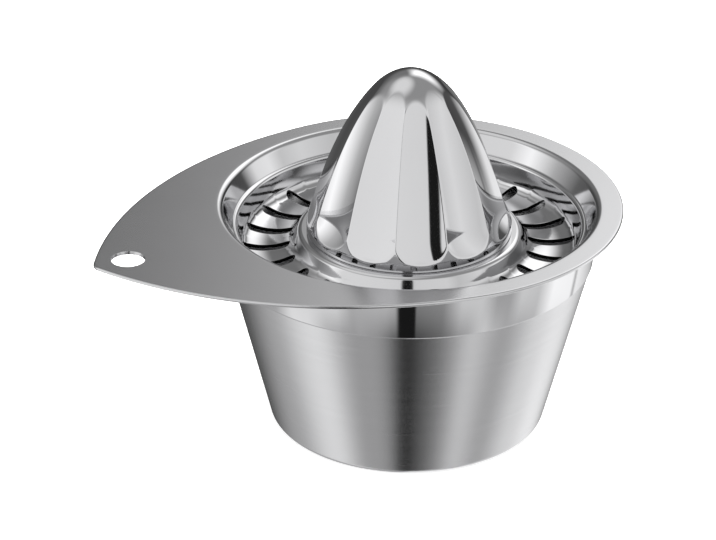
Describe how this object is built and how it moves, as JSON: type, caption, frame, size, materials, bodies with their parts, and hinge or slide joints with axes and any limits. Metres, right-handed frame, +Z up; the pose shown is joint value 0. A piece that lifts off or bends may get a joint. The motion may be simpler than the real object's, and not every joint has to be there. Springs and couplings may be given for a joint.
{
  "type": "hand citrus juicer",
  "caption": "Steel hand citrus juicer: fluted reamer on a slotted strainer dish with a teardrop handle, seated in a tapered bowl.",
  "frame": {"origin": "centre of the bowl's flat base, on the bowl's axis", "axes": "+Z up along the axis of bowl and reamer, -X towards the tip of the handle"},
  "size_m": [0.1801, 0.14, 0.1236],
  "materials": {
    "bowl_steel": "satin taper, polished band",
    "plate_steel": "satin plate, polished dish",
    "cone_steel": "mirror polished steel"
  },
  "bodies": {
    "bowl": {"bowl": "bowl_steel"},
    "strainer": {"strainer_plate": "plate_steel", "reamer_cone": "cone_steel"}
  },
  "joints": [
    {"name": "strainer_lift", "type": "slide", "parent": "bowl", "child": "strainer", "axis": [0, 0, 1], "range_m": [0, 0.05]}
  ]
}
